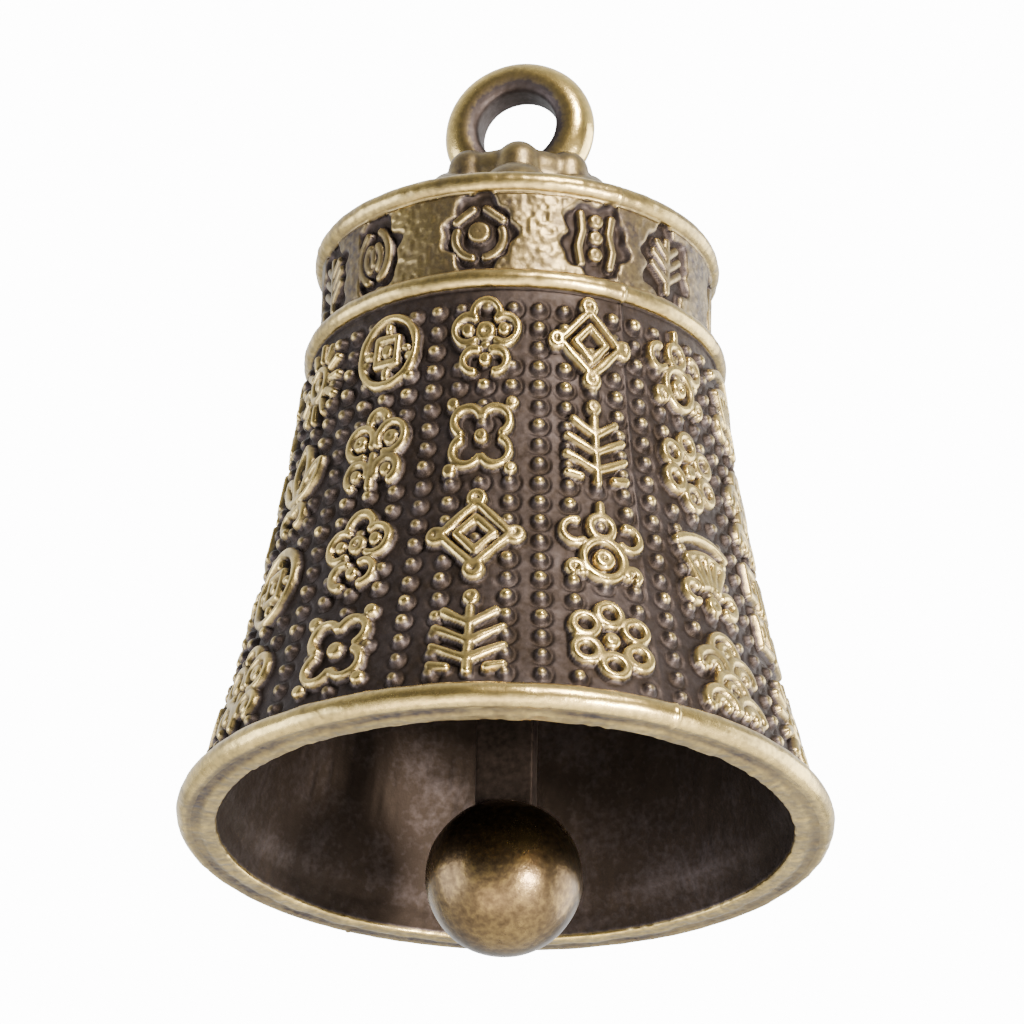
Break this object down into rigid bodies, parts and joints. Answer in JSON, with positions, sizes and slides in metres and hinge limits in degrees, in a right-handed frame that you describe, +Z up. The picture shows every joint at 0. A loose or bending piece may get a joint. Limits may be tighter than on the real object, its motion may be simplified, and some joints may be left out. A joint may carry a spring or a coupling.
{
  "type": "temple bell",
  "caption": "Small cast brass temple bell with a relief waist, rolled beads, a petal collar, a ring to hang it by and a ball clapper that swings inside.",
  "frame": {"origin": "centre of the hanging hole in the loop", "axes": "+Z up along the bell's axis, +Y along the hanging hole's axis"},
  "size_m": [0.028, 0.028, 0.0426],
  "materials": {
    "aged_cast_brass": "cast, antiqued dark in the hollows and rubbed bright on the high parts",
    "clapper_brass": "turned ball, tumbled and darkened",
    "dark_brass": "dark oxidised, satin",
    "dark_strap": "flat strip, chemically browned"
  },
  "bodies": {
    "bell": {"bell_body": "aged_cast_brass", "lotus_collar": "aged_cast_brass", "hanging_loop": "aged_cast_brass", "crown_washer": "dark_brass", "lock_nut": "dark_brass", "clapper_hanger": "dark_brass"},
    "link": {"clapper_ring": "dark_brass"},
    "clapper": {"clapper_strap": "dark_strap", "clapper_ball": "clapper_brass"}
  },
  "joints": [
    {"name": "link_rock", "type": "hinge", "parent": "bell", "child": "link", "pos_m": [0, 0, -0.0121], "axis": [1, 0, 0], "range_deg": [-5, 5]},
    {"name": "clapper_swing", "type": "hinge", "parent": "link", "child": "clapper", "pos_m": [0, 0, -0.0159], "axis": [0, 1, 0], "range_deg": [-25, 25]}
  ]
}
